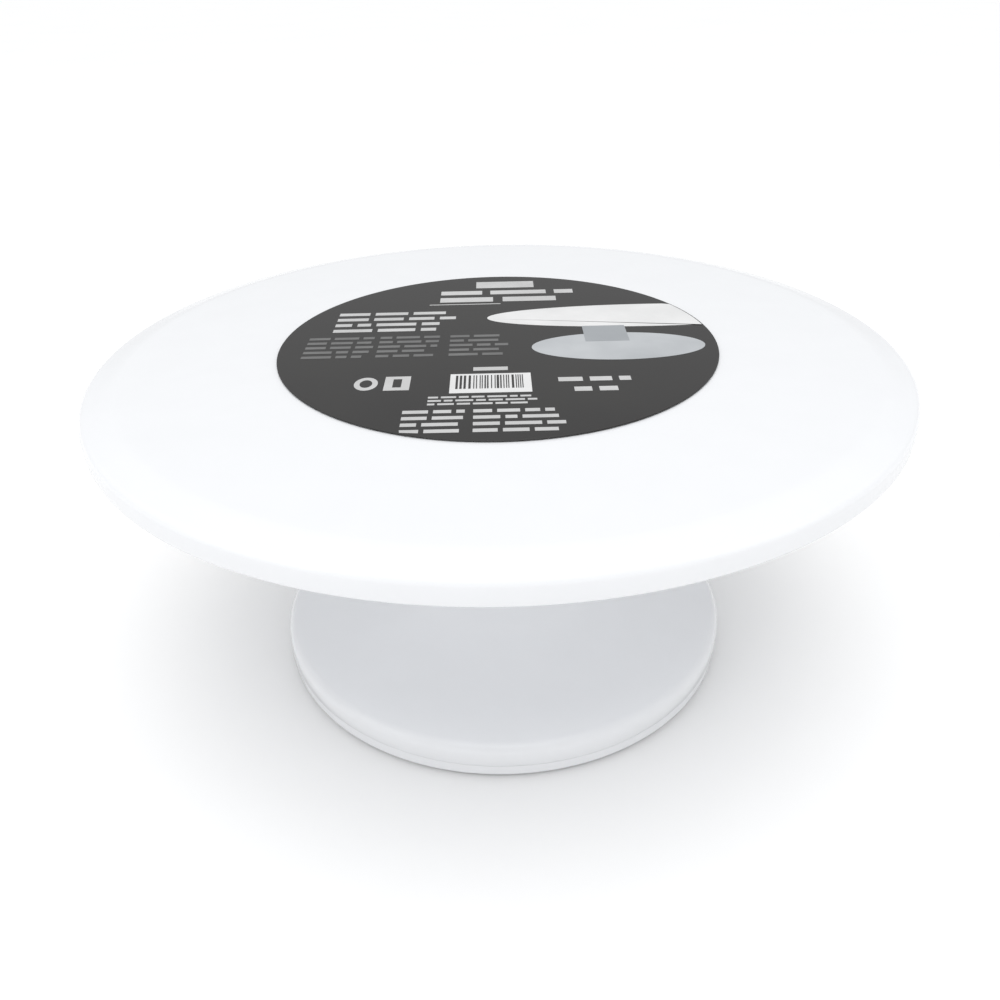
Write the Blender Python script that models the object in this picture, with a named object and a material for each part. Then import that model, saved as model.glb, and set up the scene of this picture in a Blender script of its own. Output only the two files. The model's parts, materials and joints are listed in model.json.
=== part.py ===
"""Cake turntable: a pressed metal plate that spins on a thrust ball bearing at the top of a cast pedestal.

Origin: centre of the circle that the feet stand on. +Z is up and is the spin axis. Sizes are in metres.
"""

import math

import bmesh
import bpy
from mathutils import Matrix, Vector

# Driving dimensions
PLATE_RADIUS = 0.1525
OVERALL_HEIGHT = 0.135
SHEET = 0.0018
RIM_DEPTH = 0.0110
BASE_RADIUS = 0.096
STEM_RADIUS = 0.024
GAP = 0.0003

# Heights of the plate and hub, counted down from the plate's top
PLATE_UNDERSIDE = OVERALL_HEIGHT - SHEET
HUB_TOP = PLATE_UNDERSIDE - GAP
HUB_FLANGE_RADIUS = 0.045
HUB_CEILING = HUB_TOP - 0.0069
HUB_SKIRT_BOTTOM = HUB_CEILING - 0.007
HUB_SKIRT_INNER = STEM_RADIUS + 0.0012
HUB_SKIRT_OUTER = HUB_SKIRT_INNER + 0.0030

# Thrust bearing, stacked down from the hub's ceiling
RACE_INNER = 0.0095
RACE_OUTER = 0.0185
RACE_HEIGHT = 0.0022
BALL_RADIUS = 0.0021
BALL_CIRCLE = 0.014
BALL_COUNT = 8
CAGE_HEIGHT = 0.0016
UPPER_RACE_TOP = HUB_CEILING - GAP
BALL_HEIGHT = UPPER_RACE_TOP - RACE_HEIGHT - GAP - BALL_RADIUS
LOWER_RACE_TOP = BALL_HEIGHT - BALL_RADIUS - GAP
SEAT_FLOOR = LOWER_RACE_TOP - RACE_HEIGHT - GAP
SEAT_RADIUS = 0.0190
STEM_TOP = SEAT_FLOOR + 0.0063

# Spindle and its two bushes
SPINDLE_RADIUS = 0.008
BUSH_INNER = 0.0084
BUSH_OUTER = 0.0115
BUSH_SEAT = BUSH_OUTER + GAP
BUSH_LENGTH = 0.016
LOWER_BUSH_BOTTOM = 0.0400
BOSS_BOTTOM = 0.0360
SPINDLE_SHOULDER = 0.0352
THREAD_RADIUS = 0.006
THREAD_BOTTOM = 0.0225
WASHER_THICKNESS = 0.0018
NUT_HEIGHT = 0.0065
NUT_ACROSS_CORNERS = 0.0196

# Base: a ring under the casting, a cover plate in it, screws and feet
RING_BOTTOM = 0.0012
SEAM = 0.0063
RING_INNER = 0.0865
COVER_BOTTOM = 0.0030
COVER_TOP = 0.0058
COVER_RADIUS = RING_INNER - GAP
SCREW_CIRCLE = 0.064
POST_RADIUS = 0.0045
POST_HOLE = 0.0021
FOOT_RADIUS = 0.0075
FOOT_CIRCLE = 0.0775

# The paper label on the plate
LABEL_RADIUS = 0.084
LABEL_THICKNESS = 0.0004

MATERIALS = {
    "white_coating": ((0.90, 0.91, 0.93), 0.28, 0.0),
    "bright_steel": ((0.62, 0.63, 0.65), 0.25, 1.0),
    "bronze": ((0.55, 0.36, 0.16), 0.35, 1.0),
    "zinc_plate": ((0.52, 0.54, 0.56), 0.40, 1.0),
    "black_rubber": ((0.03, 0.03, 0.03), 0.80, 0.0),
    "brass_cage": ((0.72, 0.55, 0.25), 0.30, 1.0),
    "printed_card": ((0.045, 0.043, 0.042), 0.35, 0.0),
}


def clear_scene():
    for obj in list(bpy.data.objects):
        bpy.data.objects.remove(obj)


def material(name):
    found = bpy.data.materials.get(name)
    if found:
        return found
    colour, roughness, metallic = MATERIALS[name]
    made = bpy.data.materials.new(name)
    made.use_nodes = True
    shader = made.node_tree.nodes["Principled BSDF"]
    shader.inputs["Base Color"].default_value = (*colour, 1.0)
    shader.inputs["Roughness"].default_value = roughness
    shader.inputs["Metallic"].default_value = metallic
    return made


def add_object(name, bm, slot, location=(0, 0, 0), angle=0.0):
    """Makes a smooth-shaded object of bm, turned by angle about its own vertical axis."""
    bmesh.ops.recalc_face_normals(bm, faces=bm.faces)
    mesh = bpy.data.meshes.new(name)
    bm.to_mesh(mesh)
    bm.free()
    mesh.shade_smooth()
    mesh.set_sharp_from_angle(angle=math.radians(35))
    mesh.materials.append(material(slot))
    obj = bpy.data.objects.new(name, mesh)
    obj.location = location
    obj.rotation_euler = (0, 0, angle)
    bpy.context.scene.collection.objects.link(obj)
    return obj


def turned_mesh(profile, segments):
    """Revolves a closed outline of (radius, height) points. A radius of 0 becomes one point on the axis."""
    bm = bmesh.new()
    rings = []
    for radius, height in profile:
        if radius == 0:
            rings.append([bm.verts.new((0, 0, height))] * segments)
            continue
        ring = []
        for step in range(segments):
            turn = 2 * math.pi * step / segments
            ring.append(bm.verts.new((radius * math.cos(turn), radius * math.sin(turn), height)))
        rings.append(ring)
    for here, there in zip(rings, rings[1:] + rings[:1]):
        for step in range(segments):
            after = (step + 1) % segments
            corners = dict.fromkeys([here[step], here[after], there[after], there[step]])
            if len(corners) > 2:
                bm.faces.new(corners)
    return bm


def turned(name, profile, slot, segments=24, location=(0, 0, 0), angle=0.0):
    return add_object(name, turned_mesh(profile, segments), slot, location, angle)


def tube_profile(inner, outer, bottom, top):
    return [(inner, bottom), (outer, bottom), (outer, top), (inner, top)]


def arc(centre_r, centre_z, radius, start, end, steps):
    """Points of a round corner, with angles in degrees from the outward direction."""
    points = []
    for step in range(steps + 1):
        turn = math.radians(start + (end - start) * step / steps)
        points.append((centre_r + radius * math.cos(turn), centre_z + radius * math.sin(turn)))
    return points


def top_plate():
    """The pressed plate: flat, then a shallow bevel, a rounded shoulder, a skirt and an inward lip."""
    bevel_inset = 0.0115
    bevel_drop = 0.0020
    shoulder = 0.0026
    lip = 0.0015
    bottom = OVERALL_HEIGHT - RIM_DEPTH
    top_edge = PLATE_RADIUS - bevel_inset
    shoulder_z = OVERALL_HEIGHT - bevel_drop - shoulder
    outer = [(0, OVERALL_HEIGHT), (top_edge, OVERALL_HEIGHT)]
    outer += arc(PLATE_RADIUS - shoulder, shoulder_z, shoulder, 85, 0, 4)
    outer += arc(PLATE_RADIUS - lip, bottom + lip, lip, 0, -90, 3)
    inner = [(PLATE_RADIUS - lip - 0.0015, bottom), (PLATE_RADIUS - lip - 0.0015, bottom + SHEET)]
    inner += [(PLATE_RADIUS - SHEET - 0.0004, bottom + SHEET + 0.0006)]
    inner += arc(PLATE_RADIUS - shoulder, shoulder_z, shoulder - SHEET, 0, 85, 2)
    inner += [(top_edge, PLATE_UNDERSIDE), (0, PLATE_UNDERSIDE)]
    return turned("top_plate", outer + inner, "white_coating", segments=72)


def hub_flange():
    """The hub under the plate: a flange, a cone and a skirt that covers the stem's top."""
    bore = SPINDLE_RADIUS + GAP
    profile = [
        (bore, HUB_TOP),
        (HUB_FLANGE_RADIUS, HUB_TOP),
        (HUB_FLANGE_RADIUS, HUB_TOP - 0.0022),
        (HUB_SKIRT_OUTER + 0.002, HUB_CEILING - 0.0005),
        (HUB_SKIRT_OUTER, HUB_CEILING - 0.0025),
        (HUB_SKIRT_OUTER, HUB_SKIRT_BOTTOM),
        (HUB_SKIRT_INNER, HUB_SKIRT_BOTTOM),
        (HUB_SKIRT_INNER, HUB_CEILING),
        (bore, HUB_CEILING),
    ]
    return turned("hub_flange", profile, "white_coating", segments=48)


def base_outline():
    """The casting's outer surface, from the seam up over the rim, along the dished cone and up the stem."""
    rim_radius = 0.0042
    rim_z = 0.0120
    points = [(BASE_RADIUS, SEAM + GAP), (BASE_RADIUS, rim_z)]
    points += arc(BASE_RADIUS - rim_radius, rim_z, rim_radius, 20, 80, 3)
    points += [(0.087, 0.0168), (0.074, 0.0184), (0.058, 0.0215), (0.044, 0.0268)]
    flare = 0.010
    points += arc(STEM_RADIUS + flare + 0.001, 0.0420, flare, 235, 185, 3)
    points += [(STEM_RADIUS + 0.0004, 0.0480), (STEM_RADIUS, STEM_TOP)]
    return points


def base_bore():
    """The casting's inside, from the stem's mouth down to the seam."""
    chamber = 0.017
    upper_seat_bottom = SEAT_FLOOR - BUSH_LENGTH - 0.002
    lower_seat_top = LOWER_BUSH_BOTTOM + BUSH_LENGTH
    lip = BUSH_INNER + 0.0008
    return [
        (SEAT_RADIUS, STEM_TOP),
        (SEAT_RADIUS, SEAT_FLOOR),
        (BUSH_SEAT, SEAT_FLOOR),
        (BUSH_SEAT, upper_seat_bottom),
        (chamber, upper_seat_bottom - 0.002),
        (chamber, lower_seat_top + 0.002),
        (BUSH_SEAT, lower_seat_top),
        (BUSH_SEAT, LOWER_BUSH_BOTTOM - GAP),
        (lip, LOWER_BUSH_BOTTOM - GAP),
        (lip, BOSS_BOTTOM),
        (0.0200, BOSS_BOTTOM),
        (0.0300, 0.0285),
        (0.0430, 0.0230),
        (0.0580, 0.0178),
        (0.0720, 0.0150),
        (0.0920, 0.0125),
        (0.0930, SEAM + GAP),
    ]


def quarter_turns(circle, offset):
    """Four places on a circle, each with its angle."""
    for step in range(4):
        turn = math.radians(offset + 90 * step)
        yield Vector((circle * math.cos(turn), circle * math.sin(turn), 0)), turn


def base_shell():
    """The cast base and stem, with four screw posts joined under the cone."""
    shell = turned("base_shell", base_outline() + base_bore(), "white_coating", segments=48)
    posts = bmesh.new()
    post_top = 0.0185
    for place, _ in quarter_turns(SCREW_CIRCLE, 45):
        post = turned_mesh(tube_profile(POST_HOLE, POST_RADIUS, SEAM + GAP, post_top), 16)
        post_mesh = bpy.data.meshes.new("post")
        post.to_mesh(post_mesh)
        post.free()
        post_mesh.transform(Matrix.Translation(place))
        posts.from_mesh(post_mesh)
        bpy.data.meshes.remove(post_mesh)
    guide = add_object("screw_posts", posts, "white_coating")
    guide.hide_render = True
    guide.display_type = "WIRE"
    join = shell.modifiers.new("posts", "BOOLEAN")
    join.operation = "UNION"
    join.solver = "EXACT"
    join.object = guide
    return shell


def base_ring():
    """The ring under the seam, with a small round on its lower outer edge."""
    profile = [
        (RING_INNER, RING_BOTTOM),
        (BASE_RADIUS - 0.0022, RING_BOTTOM),
        (BASE_RADIUS - 0.0006, RING_BOTTOM + 0.0010),
        (BASE_RADIUS - 0.0002, SEAM),
        (RING_INNER, SEAM),
    ]
    return turned("base_ring", profile, "white_coating", segments=48)


def bottom_plate():
    """The cover of the base's underside, with four clearance holes for its screws."""
    cover = turned(
        "bottom_plate",
        [(0, COVER_BOTTOM), (COVER_RADIUS, COVER_BOTTOM), (COVER_RADIUS, COVER_TOP), (0, COVER_TOP)],
        "zinc_plate",
        segments=48,
    )
    holes = bmesh.new()
    for place, _ in quarter_turns(SCREW_CIRCLE, 45):
        bmesh.ops.create_cone(
            holes,
            cap_ends=True,
            segments=16,
            radius1=0.0024,
            radius2=0.0024,
            depth=0.01,
            matrix=Matrix.Translation(place + Vector((0, 0, COVER_BOTTOM))),
        )
    cutter = add_object("cover_holes", holes, "zinc_plate")
    cutter.hide_render = True
    cutter.display_type = "WIRE"
    cut = cover.modifiers.new("holes", "BOOLEAN")
    cut.operation = "DIFFERENCE"
    cut.solver = "EXACT"
    cut.object = cutter
    return cover


def fasteners():
    """Screws of the base cover, and their four rubber feet."""
    head_top = COVER_BOTTOM - GAP
    head_bottom = RING_BOTTOM
    shank = 0.0017
    screw = [
        (0, head_bottom),
        (0.0030, head_bottom),
        (0.0040, head_top),
        (shank, head_top),
        (shank, 0.0135),
        (0, 0.0148),
    ]
    foot = [
        (0, 0),
        (FOOT_RADIUS - 0.0006, 0),
        (FOOT_RADIUS, COVER_BOTTOM - GAP),
        (0, COVER_BOTTOM - GAP),
    ]
    for number, (place, turn) in enumerate(quarter_turns(SCREW_CIRCLE, 45), 1):
        turned(f"base_screw_{number}", screw, "bright_steel", 12, place, turn)
    for number, (place, turn) in enumerate(quarter_turns(FOOT_CIRCLE, 0), 1):
        turned(f"foot_{number}", foot, "black_rubber", 20, place, turn)


def spindle():
    profile = [
        (0, THREAD_BOTTOM),
        (THREAD_RADIUS - 0.0008, THREAD_BOTTOM),
        (THREAD_RADIUS, THREAD_BOTTOM + 0.0008),
        (THREAD_RADIUS, SPINDLE_SHOULDER),
        (SPINDLE_RADIUS, SPINDLE_SHOULDER),
        (SPINDLE_RADIUS, HUB_TOP - 0.0010),
        (SPINDLE_RADIUS - 0.0008, HUB_TOP - GAP),
        (0, HUB_TOP - GAP),
    ]
    return turned("spindle", profile, "bright_steel", 24)


def bushes():
    upper_bottom = SEAT_FLOOR - BUSH_LENGTH - GAP
    for name, bottom in (("upper_bush", upper_bottom), ("lower_bush", LOWER_BUSH_BOTTOM)):
        turned(name, tube_profile(BUSH_INNER, BUSH_OUTER, bottom, bottom + BUSH_LENGTH - GAP), "bronze", 24)


def thrust_bearing():
    """Two flat races, a cage with a pocket for each ball, and the balls."""
    upper_bottom = UPPER_RACE_TOP - RACE_HEIGHT
    lower_bottom = LOWER_RACE_TOP - RACE_HEIGHT
    turned(
        "thrust_race_upper",
        tube_profile(RACE_INNER, RACE_OUTER, upper_bottom, UPPER_RACE_TOP),
        "bright_steel",
        24,
    )
    turned(
        "thrust_race_lower",
        tube_profile(RACE_INNER, RACE_OUTER, lower_bottom, LOWER_RACE_TOP),
        "bright_steel",
        24,
    )
    half = CAGE_HEIGHT / 2
    cage = turned(
        "ball_cage",
        tube_profile(0.0100, 0.0178, BALL_HEIGHT - half, BALL_HEIGHT + half),
        "brass_cage",
        48,
    )
    pockets = bmesh.new()
    for step in range(BALL_COUNT):
        turn = 2 * math.pi * step / BALL_COUNT
        place = (BALL_CIRCLE * math.cos(turn), BALL_CIRCLE * math.sin(turn), BALL_HEIGHT)
        bmesh.ops.create_cone(
            pockets,
            cap_ends=True,
            segments=16,
            radius1=BALL_RADIUS + 0.0004,
            radius2=BALL_RADIUS + 0.0004,
            depth=0.006,
            matrix=Matrix.Translation(place),
        )
        ball = bmesh.new()
        centre = Matrix.Translation(place)
        bmesh.ops.create_icosphere(ball, subdivisions=2, radius=BALL_RADIUS, matrix=centre)
        add_object(f"ball_{step + 1}", ball, "bright_steel")
    cutter = add_object("cage_pockets", pockets, "brass_cage")
    cutter.hide_render = True
    cutter.display_type = "WIRE"
    cut = cage.modifiers.new("pockets", "BOOLEAN")
    cut.operation = "DIFFERENCE"
    cut.solver = "EXACT"
    cut.object = cutter


def retainer():
    """The washer and hexagonal lock nut on the spindle's lower end."""
    bore = THREAD_RADIUS + GAP
    washer_top = SPINDLE_SHOULDER - GAP
    nut_top = washer_top - WASHER_THICKNESS - GAP
    washer = tube_profile(bore, 0.0150, washer_top - WASHER_THICKNESS, washer_top)
    turned("retaining_washer", washer, "bright_steel", 24)
    outer = NUT_ACROSS_CORNERS / 2
    nut = turned_mesh(tube_profile(bore, outer, nut_top - NUT_HEIGHT, nut_top), 24)
    flat = outer * math.cos(math.radians(30))
    for vert in nut.verts:
        if vert.co.xy.length > (bore + outer) / 2:
            turn = math.atan2(vert.co.y, vert.co.x) % math.radians(60)
            reach = flat / math.cos(turn - math.radians(30))
            vert.co.xy = vert.co.xy.normalized() * reach
    add_object("lock_nut", nut, "bright_steel")


def label_card():
    bottom = OVERALL_HEIGHT + GAP
    top = bottom + LABEL_THICKNESS
    profile = [(0, bottom), (LABEL_RADIUS, bottom), (LABEL_RADIUS, top), (0, top)]
    return turned("label_card", profile, "printed_card", 72)


def build():
    clear_scene()
    base_shell()
    base_ring()
    bottom_plate()
    fasteners()
    bushes()
    thrust_bearing()
    retainer()
    spindle()
    hub_flange()
    top_plate()
    label_card()


build()
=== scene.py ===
"""Looks for the cake turntable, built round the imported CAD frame. Sizes are in metres."""

import json
import math
import random

import bmesh
import bpy
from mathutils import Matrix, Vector


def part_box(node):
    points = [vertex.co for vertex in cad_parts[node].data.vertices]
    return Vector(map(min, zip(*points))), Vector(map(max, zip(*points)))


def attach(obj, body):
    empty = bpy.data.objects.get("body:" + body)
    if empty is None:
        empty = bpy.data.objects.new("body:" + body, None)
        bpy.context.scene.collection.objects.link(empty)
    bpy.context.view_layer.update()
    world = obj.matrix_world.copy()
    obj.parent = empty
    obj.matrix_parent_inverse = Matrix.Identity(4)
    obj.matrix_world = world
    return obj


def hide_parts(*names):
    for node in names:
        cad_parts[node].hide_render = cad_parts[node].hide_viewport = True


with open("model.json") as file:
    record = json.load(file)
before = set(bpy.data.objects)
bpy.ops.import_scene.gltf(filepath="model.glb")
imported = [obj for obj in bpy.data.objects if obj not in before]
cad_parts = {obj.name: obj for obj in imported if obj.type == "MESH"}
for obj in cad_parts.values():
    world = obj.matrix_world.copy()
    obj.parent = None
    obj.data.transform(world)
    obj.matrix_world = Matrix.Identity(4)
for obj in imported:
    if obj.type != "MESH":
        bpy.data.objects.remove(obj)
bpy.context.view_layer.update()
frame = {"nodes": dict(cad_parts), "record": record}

MM = 0.001
PLATE_LOW, PLATE_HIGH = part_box("top_plate")
BASE_LOW, BASE_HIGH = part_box("base_shell")
RING_LOW, RING_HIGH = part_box("base_ring")
HUB_LOW, HUB_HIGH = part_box("hub_flange")
CARD_LOW, CARD_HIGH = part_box("label_card")
PLATE_RADIUS = PLATE_HIGH.x
BASE_RADIUS = BASE_HIGH.x
CARD_RADIUS = CARD_HIGH.x

# Camera, round the point it looks at on the spin axis
CAMERA_DISTANCE = 0.381
CAMERA_ELEVATION = math.radians(31.0)
CAMERA_TARGET = Vector((-0.0004, 0.0, 0.064))
CAMERA_ROLL = math.radians(-1.28)
CAMERA_LENS = 31.94
SENSOR = 36.0

FINE = 192
SHEET = 1.8 * MM


def noise(tree, scale, detail, coordinates):
    node = tree.nodes.new("ShaderNodeTexNoise")
    node.inputs["Scale"].default_value = scale
    node.inputs["Detail"].default_value = detail
    tree.links.new(coordinates, node.inputs["Vector"])
    return node.outputs["Fac"]


def ranged(tree, value, low, high):
    node = tree.nodes.new("ShaderNodeMapRange")
    node.inputs["To Min"].default_value = low
    node.inputs["To Max"].default_value = high
    tree.links.new(value, node.inputs["Value"])
    return node.outputs["Result"]


def material(name, dark, light, rough, metallic=0.0, grain=60.0, bump_scale=900.0, bump=0.02, coat=0.0, stretch=1.0):
    """A surface whose colour and roughness drift slightly, with a fine bump. Stretch above 1 draws the grain out."""
    made = bpy.data.materials.new(name)
    made.use_nodes = True
    tree = made.node_tree
    shader = tree.nodes["Principled BSDF"]
    shader.inputs["Metallic"].default_value = metallic
    shader.inputs["Coat Weight"].default_value = coat
    shader.inputs["Coat Roughness"].default_value = 0.12
    place = tree.nodes.new("ShaderNodeTexCoord")
    mapping = tree.nodes.new("ShaderNodeMapping")
    mapping.inputs["Scale"].default_value = (1.0, 1.0, stretch)
    tree.links.new(place.outputs["Object"], mapping.inputs["Vector"])
    where = mapping.outputs["Vector"]
    drift = noise(tree, grain, 3.0, where)
    ramp = tree.nodes.new("ShaderNodeValToRGB")
    ramp.color_ramp.elements[0].position = 0.3
    ramp.color_ramp.elements[0].color = (*dark, 1.0)
    ramp.color_ramp.elements[1].position = 0.7
    ramp.color_ramp.elements[1].color = (*light, 1.0)
    tree.links.new(drift, ramp.inputs["Fac"])
    tree.links.new(ramp.outputs["Color"], shader.inputs["Base Color"])
    tree.links.new(ranged(tree, drift, rough[0], rough[1]), shader.inputs["Roughness"])
    relief = tree.nodes.new("ShaderNodeBump")
    relief.inputs["Strength"].default_value = bump
    relief.inputs["Distance"].default_value = 0.2 * MM
    tree.links.new(noise(tree, bump_scale, 2.0, where), relief.inputs["Height"])
    tree.links.new(relief.outputs["Normal"], shader.inputs["Normal"])
    return made


COATING = material("coating", (0.875, 0.885, 0.905), (0.885, 0.895, 0.915), (0.20, 0.26), bump=0.05, coat=0.25)
CARD = material("card", (0.010, 0.009, 0.009), (0.018, 0.017, 0.016), (0.38, 0.48), grain=25.0, bump=0.04)
INK = material("ink", (0.50, 0.50, 0.50), (0.60, 0.60, 0.60), (0.40, 0.50), bump=0.02)
FAINT_INK = material("faint_ink", (0.12, 0.12, 0.12), (0.16, 0.16, 0.16), (0.40, 0.50), bump=0.02)
PAPER = material("paper", (0.72, 0.72, 0.72), (0.80, 0.80, 0.80), (0.40, 0.50), bump=0.02)
PICTURE_MID = material("picture_mid", (0.42, 0.44, 0.46), (0.52, 0.54, 0.56), (0.40, 0.50), grain=40.0)
PICTURE_STEM = material("picture_stem", (0.30, 0.32, 0.34), (0.36, 0.38, 0.40), (0.40, 0.50), grain=40.0)
STEEL = material("steel", (0.50, 0.51, 0.53), (0.62, 0.63, 0.65), (0.20, 0.34), 1.0, 300.0, 1500.0, 0.06, stretch=6.0)
ZINC = material("zinc", (0.42, 0.44, 0.46), (0.56, 0.58, 0.60), (0.32, 0.48), 1.0, 120.0, 700.0, 0.08)
BRONZE = material("bronze", (0.42, 0.26, 0.11), (0.55, 0.36, 0.17), (0.30, 0.44), 1.0, 200.0, 1200.0, 0.06)
BRASS = material("brass", (0.62, 0.45, 0.18), (0.74, 0.57, 0.28), (0.24, 0.36), 1.0, 200.0, 1200.0, 0.05)
RUBBER = material("rubber", (0.018, 0.018, 0.018), (0.032, 0.032, 0.032), (0.70, 0.85), 0.0, 150.0, 1600.0, 0.25)


def arc(centre_r, centre_z, radius, start, end, steps):
    """Points of a round corner, with angles in degrees from the outward direction."""
    turns = [math.radians(start + (end - start) * step / steps) for step in range(steps + 1)]
    return [(centre_r + radius * math.cos(turn), centre_z + radius * math.sin(turn)) for turn in turns]


def curve(start, pull_start, pull_end, end, steps):
    """Points of a cubic Bezier curve, both ends included."""
    points = []
    for step in range(steps + 1):
        t = step / steps
        weights = ((1 - t) ** 3, 3 * t * (1 - t) ** 2, 3 * t * t * (1 - t), t**3)
        corners = (start, pull_start, pull_end, end)
        points.append(tuple(sum(w * c[axis] for w, c in zip(weights, corners)) for axis in (0, 1)))
    return points


def finish_piece(name, bm, look, body, smooth_angle=35):
    bmesh.ops.recalc_face_normals(bm, faces=bm.faces)
    mesh = bpy.data.meshes.new(name)
    bm.to_mesh(mesh)
    bm.free()
    mesh.shade_smooth()
    mesh.set_sharp_from_angle(angle=math.radians(smooth_angle))
    mesh.materials.append(look)
    piece = bpy.data.objects.new(name, mesh)
    bpy.context.scene.collection.objects.link(piece)
    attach(piece, body)
    return piece


def turned(name, profile, look, body, segments=FINE):
    """Revolves a closed outline of (radius, height) points. A radius of 0 becomes one point on the axis."""
    bm = bmesh.new()
    rings = []
    for radius, height in profile:
        if radius == 0:
            rings.append([bm.verts.new((0, 0, height))] * segments)
            continue
        turns = [2 * math.pi * step / segments for step in range(segments)]
        rings.append([bm.verts.new((radius * math.cos(t), radius * math.sin(t), height)) for t in turns])
    for here, there in zip(rings, rings[1:] + rings[:1]):
        for step in range(segments):
            after = (step + 1) % segments
            corners = dict.fromkeys([here[step], here[after], there[after], there[step]])
            if len(corners) > 2:
                bm.faces.new(corners)
    return finish_piece(name, bm, look, body)


def plate():
    """A flat top, a softly sloping band, a rounded shoulder, a short skirt and a rolled-in lip."""
    top, bottom = PLATE_HIGH.z, PLATE_LOW.z
    flat_edge = PLATE_RADIUS - 11.5 * MM
    shoulder = 2.6 * MM
    lip = 1.5 * MM
    shoulder_z = top - 2.0 * MM - shoulder
    centre = PLATE_RADIUS - shoulder
    outer = [(0, top), (flat_edge - 3 * MM, top)]
    knee = arc(centre, shoulder_z, shoulder, 78, 0, 8)
    outer += curve((flat_edge - 1 * MM, top), (flat_edge + 2 * MM, top), (centre - 3 * MM, top - 1.4 * MM), knee[0], 8)
    outer += knee[1:] + arc(PLATE_RADIUS - lip, bottom + lip, lip, 0, -90, 5)
    inside = PLATE_RADIUS - lip - 1.5 * MM
    inner = [(inside, bottom), (inside, bottom + SHEET), (inside + 0.8 * MM, bottom + SHEET + 0.6 * MM)]
    inner += arc(centre, shoulder_z, shoulder - SHEET, 0, 85, 4)
    inner += [(flat_edge, top - SHEET), (0, top - SHEET)]
    piece = turned("plate", outer + inner, COATING, "turntable")
    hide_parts("top_plate")


def hub():
    """The flange, cone and skirt under the plate."""
    bore = 8.3 * MM
    skirt = 25.2 * MM
    flange = HUB_HIGH.x
    ceiling = HUB_HIGH.z - 6.9 * MM
    profile = [(bore, HUB_HIGH.z), (flange - 0.6 * MM, HUB_HIGH.z)]
    profile += arc(flange - 0.6 * MM, HUB_HIGH.z - 0.8 * MM, 0.6 * MM, 90, -60, 5)
    cone_start = (skirt + 3.0 * MM, ceiling - 2.5 * MM)
    profile += curve((flange - 3 * MM, HUB_HIGH.z - 2.4 * MM), (skirt + 9 * MM, ceiling + 3.5 * MM), (skirt + 3.2 * MM, ceiling + 1 * MM), cone_start, 10)
    profile += [(skirt + 3.0 * MM, HUB_LOW.z + 0.5 * MM), (skirt + 2.5 * MM, HUB_LOW.z)]
    profile += [(skirt, HUB_LOW.z), (skirt, ceiling), (bore, ceiling)]
    piece = turned("hub", profile, COATING, "turntable", 144)
    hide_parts("hub_flange")


def pedestal():
    """A round stem that flows into a shallow cone with a rounded rim. The inside has the bearing seats."""
    seam, stem_top = BASE_LOW.z, BASE_HIGH.z
    stem = 24.0 * MM
    rim = 4.2 * MM
    rim_z = 12.0 * MM
    outer = [(BASE_RADIUS - 0.2 * MM, seam), (BASE_RADIUS, seam + 0.3 * MM)]
    outer += arc(BASE_RADIUS - rim, rim_z, rim, 0, 76, 10)
    outer += curve((89.0 * MM, 16.6 * MM), (74.0 * MM, 18.4 * MM), (55.0 * MM, 21.0 * MM), (43.0 * MM, 27.4 * MM), 14)
    outer += curve((42.0 * MM, 28.1 * MM), (31.0 * MM, 34.6 * MM), (25.2 * MM, 38.5 * MM), (24.4 * MM, 48.0 * MM), 14)
    outer += [(stem, stem_top - 0.6 * MM), (stem - 0.6 * MM, stem_top)]
    floor = stem_top - 6.3 * MM
    bush = 11.8 * MM
    inner = [(19.0, stem_top), (19.0, floor)]
    inner = [(radius * MM, height) for radius, height in inner]
    inner += [(bush, floor), (bush, floor - 18 * MM), (17 * MM, floor - 20 * MM), (17 * MM, 58 * MM)]
    inner += [(bush, 56 * MM), (bush, 39.7 * MM), (9.2 * MM, 39.7 * MM), (9.2 * MM, 36 * MM), (20 * MM, 36 * MM)]
    inner += [(30 * MM, 28.5 * MM), (43 * MM, 23 * MM), (58 * MM, 17.8 * MM), (72 * MM, 15 * MM)]
    inner += [(BASE_RADIUS - 4 * MM, 12.5 * MM), (BASE_RADIUS - 3 * MM, seam)]
    piece = turned("pedestal", outer + inner, COATING, "stand")
    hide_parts("base_shell")


def ring():
    """The low ring under the seam, a shade smaller than the rim above it."""
    low, high = RING_LOW.z, RING_HIGH.z
    inner = BASE_RADIUS - 9.5 * MM
    edge = 1.4 * MM
    outer_r = RING_HIGH.x - 0.2 * MM
    profile = [(inner, low)] + arc(outer_r - edge, low + edge, edge, -90, 0, 6)
    profile += [(outer_r, high - 0.2 * MM), (outer_r - 0.2 * MM, high), (inner, high)]
    piece = turned("ring", profile, COATING, "stand")
    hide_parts("base_ring")


PRINT_Z = CARD_HIGH.z
PRINT_HEIGHT = 0.05 * MM


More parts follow.
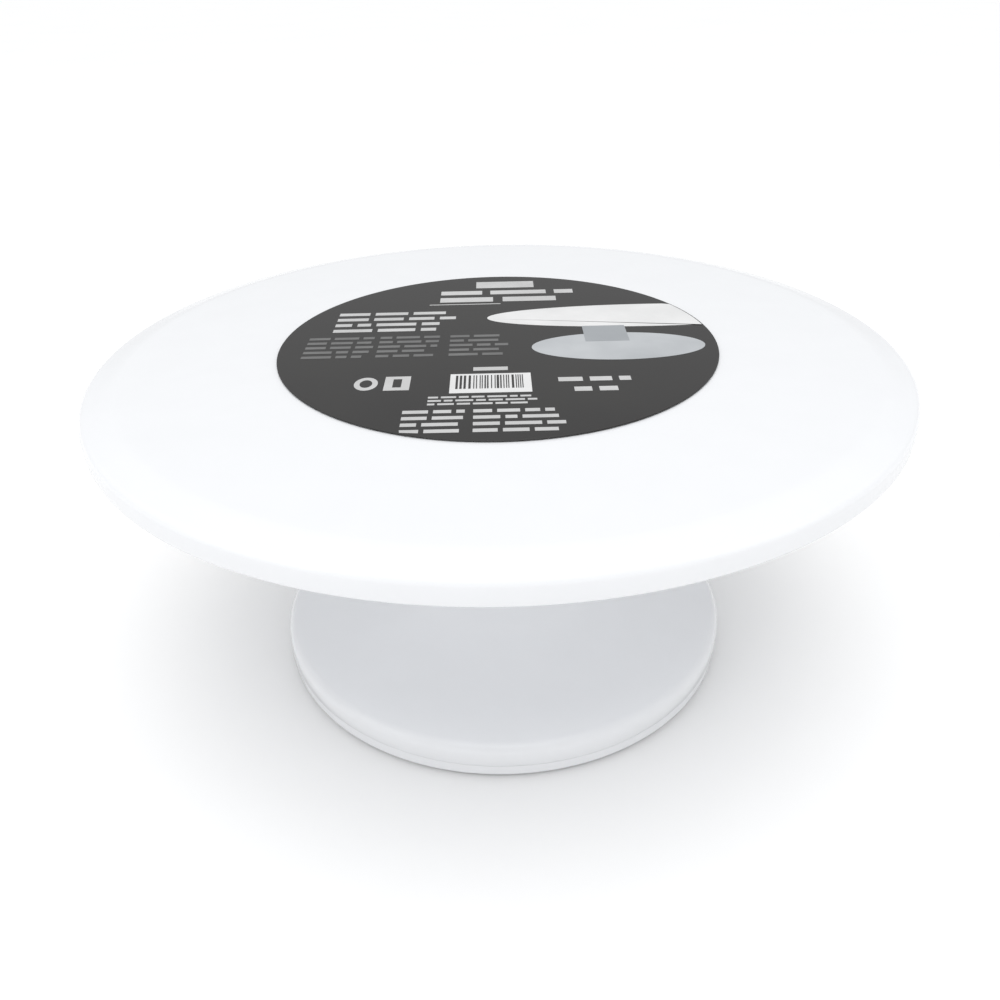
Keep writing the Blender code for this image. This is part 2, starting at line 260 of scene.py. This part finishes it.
class Print:
    """Flat shapes of one ink, gathered into one mesh that stands a hair above the card. Card places are in mm."""

    def __init__(self, lift=0.0):
        self.bm = bmesh.new()
        self.low = PRINT_Z + lift + 0.01 * MM
        self.high = self.low + PRINT_HEIGHT

    def outline(self, points):
        """A filled shape, held inside the card's edge."""
        limit = CARD_RADIUS - 0.6 * MM
        kept = []
        for x, y in points:
            spot = Vector((x * MM, y * MM))
            if spot.length > limit:
                spot = spot.normalized() * limit
            kept.append(spot)
        low = [self.bm.verts.new((spot.x, spot.y, self.low)) for spot in kept]
        high = [self.bm.verts.new((spot.x, spot.y, self.high)) for spot in kept]
        self.bm.faces.new(high)
        self.bm.faces.new(low[::-1])
        count = len(kept)
        for step in range(count):
            after = (step + 1) % count
            self.bm.faces.new((low[step], low[after], high[after], high[step]))

    def box(self, left, right, low, high):
        self.outline([(left, low), (right, low), (right, high), (left, high)])

    def oval(self, x, y, wide, tall, steps=48):
        turns = [2 * math.pi * step / steps for step in range(steps)]
        self.outline([(x + wide * math.cos(t), y + tall * math.sin(t)) for t in turns])

    def words(self, left, right, middle, tall, seed, ragged=0.12):
        """A line of plain dashes, as long as words."""
        draw = random.Random(seed)
        end = right - (right - left) * ragged * draw.random()
        x = left
        while x < end - tall:
            length = min(tall * draw.uniform(1.6, 5.0), end - x)
            self.box(x, x + length, middle - tall / 2, middle + tall / 2)
            x += length + tall * 0.7

    def paragraph(self, left, right, top, bottom, lines, seed, fill=0.5):
        pitch = (top - bottom) / lines
        for line in range(lines):
            self.words(left, right, top - pitch * (line + 0.5), pitch * fill, seed + line)

    def done(self, name, look):
        return finish_piece(name, self.bm, look, "turntable")


def card():
    """The round label: a dark card with plain dashes where there would be text, and a small picture."""
    low, high = CARD_LOW.z, CARD_HIGH.z
    edge = 0.12 * MM
    profile = [(0, low), (CARD_RADIUS - edge, low), (CARD_RADIUS, low + edge), (CARD_RADIUS, high - edge)]
    profile += [(CARD_RADIUS - edge, high), (0, high)]
    piece = turned("card", profile, CARD, "turntable")
    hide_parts("label_card")

    ink = Print()
    ink.box(-9.0, 17.0, 67.0, 76.0)
    ink.words(-24.5, 34.0, 60.5, 5.2, 11, 0.0)
    ink.words(-24.5, 34.0, 51.0, 6.0, 12, 0.0)
    ink.box(-28.8, 1.7, 44.6, 45.4)
    ink.paragraph(-66.0, -16.0, 38.0, 12.0, 4, 20)
    ink.words(21.0, 46.5, -38.0, 3.6, 41, 0.0)
    ink.words(26.0, 41.0, -46.5, 3.6, 42, 0.0)
    ink.words(-9.0, 3.5, -27.0, 3.2, 43, 0.0)
    ink.paragraph(-24.0, 14.0, -49.8, -58.0, 3, 50)
    ink.paragraph(-31.8, -10.5, -60.0, -79.0, 4, 60)
    ink.paragraph(-8.5, 21.5, -60.0, -79.0, 4, 70)
    ink.oval(-46.5, -38.5, 4.2, 5.6, 24)
    ink.box(-40.0, -31.0, -44.5, -32.5)
    ink.done("print_text", INK)

    faint = Print()
    faint.paragraph(-74.0, -47.5, 9.0, -15.0, 5, 80)
    faint.paragraph(-46.0, -22.0, 9.0, -15.0, 5, 90)
    faint.paragraph(-18.5, 4.5, 9.0, -15.0, 5, 100)
    faint.done("print_small_text", FAINT_INK)

    paper = Print()
    paper.box(-17.0, 11.5, -48.0, -31.5)
    paper.oval(62.0, 27.0, 66.0, 13.5, 96)
    paper.done("print_white", PAPER)

    middle = Print()
    middle.oval(46.0, -7.0, 33.0, 14.0, 72)
    middle.done("print_picture", PICTURE_MID)

    stem = Print(lift=PRINT_HEIGHT + 0.01 * MM)
    stem.box(34.0, 51.0, -2.0, 15.0)
    stem.done("print_stem", PICTURE_STEM)

    dark = Print(lift=PRINT_HEIGHT + 0.01 * MM)
    draw = random.Random(5)
    x = -15.0
    while x < 9.0:
        wide = draw.choice((0.35, 0.5, 0.8))
        dark.box(x, x + wide, -44.5, -33.0)
        x += wide + draw.choice((0.4, 0.6, 0.9))
    dark.box(-37.0, -34.0, -42.0, -35.0)
    dark.oval(-46.5, -38.5, 2.2, 3.2, 24)
    dark.done("print_bars", CARD)


def dress_cad():
    looks = {
        "bright_steel": STEEL,
        "bronze": BRONZE,
        "zinc_plate": ZINC,
        "black_rubber": RUBBER,
        "brass_cage": BRASS,
        "white_coating": COATING,
        "printed_card": CARD,
    }
    for subpart in frame["record"]["subparts"]:
        node = frame["nodes"][subpart["node"]]
        node.data.materials.clear()
        node.data.materials.append(looks[subpart["material_slot"]])


def studio():
    floor_mesh = bmesh.new()
    bmesh.ops.create_grid(floor_mesh, x_segments=1, y_segments=1, size=60.0)
    mesh = bpy.data.meshes.new("floor")
    floor_mesh.to_mesh(mesh)
    floor_mesh.free()
    mesh.materials.append(material("floor", (0.93, 0.93, 0.93), (0.94, 0.94, 0.94), (0.9, 0.95), grain=3.0, bump=0.0))
    floor = bpy.data.objects.new("floor", mesh)
    floor.location.z = -0.2 * MM
    bpy.context.scene.collection.objects.link(floor)

    world = bpy.context.scene.world or bpy.data.worlds.new("studio")
    bpy.context.scene.world = world
    world.use_nodes = True
    sky = world.node_tree.nodes.get("Background") or world.node_tree.nodes.new("ShaderNodeBackground")
    sky.inputs["Color"].default_value = (0.99, 0.995, 1.0, 1.0)
    sky.inputs["Strength"].default_value = 0.66

    overhead = bpy.data.lights.new("overhead", "SUN")
    overhead.energy = 1.4
    overhead.angle = math.radians(50)
    add_light(overhead, (0.0, -0.2, 1.0))
    for name, place, power in (("left", (-1.2, -0.7, 0.7), 2.0), ("right", (1.2, -0.6, 0.6), 1.2)):
        softbox = bpy.data.lights.new(name, "AREA")
        softbox.size = 0.9
        softbox.energy = power
        add_light(softbox, place)


def add_light(data, place):
    """Puts a light at a place, aimed at the middle of the object."""
    light = bpy.data.objects.new(data.name, data)
    light.location = place
    light.rotation_mode = "QUATERNION"
    light.rotation_quaternion = (Vector((0, 0, 0.08)) - Vector(place)).to_track_quat("-Z", "Y")
    bpy.context.scene.collection.objects.link(light)


def camera():
    data = bpy.data.cameras.new("camera")
    data.lens = CAMERA_LENS
    data.sensor_width = SENSOR
    data.clip_start = 0.01
    view = bpy.data.objects.new("camera", data)
    back = Vector((0, -math.cos(CAMERA_ELEVATION), math.sin(CAMERA_ELEVATION)))
    view.location = CAMERA_TARGET + back * CAMERA_DISTANCE
    view.rotation_euler = (math.pi / 2 - CAMERA_ELEVATION, 0, 0)
    view.rotation_euler.rotate_axis("Z", CAMERA_ROLL)
    bpy.context.scene.collection.objects.link(view)
    bpy.context.scene.camera = view


bpy.context.scene.view_settings.view_transform = "Standard"
dress_cad()
plate()
hub()
pedestal()
ring()
card()
studio()
camera()
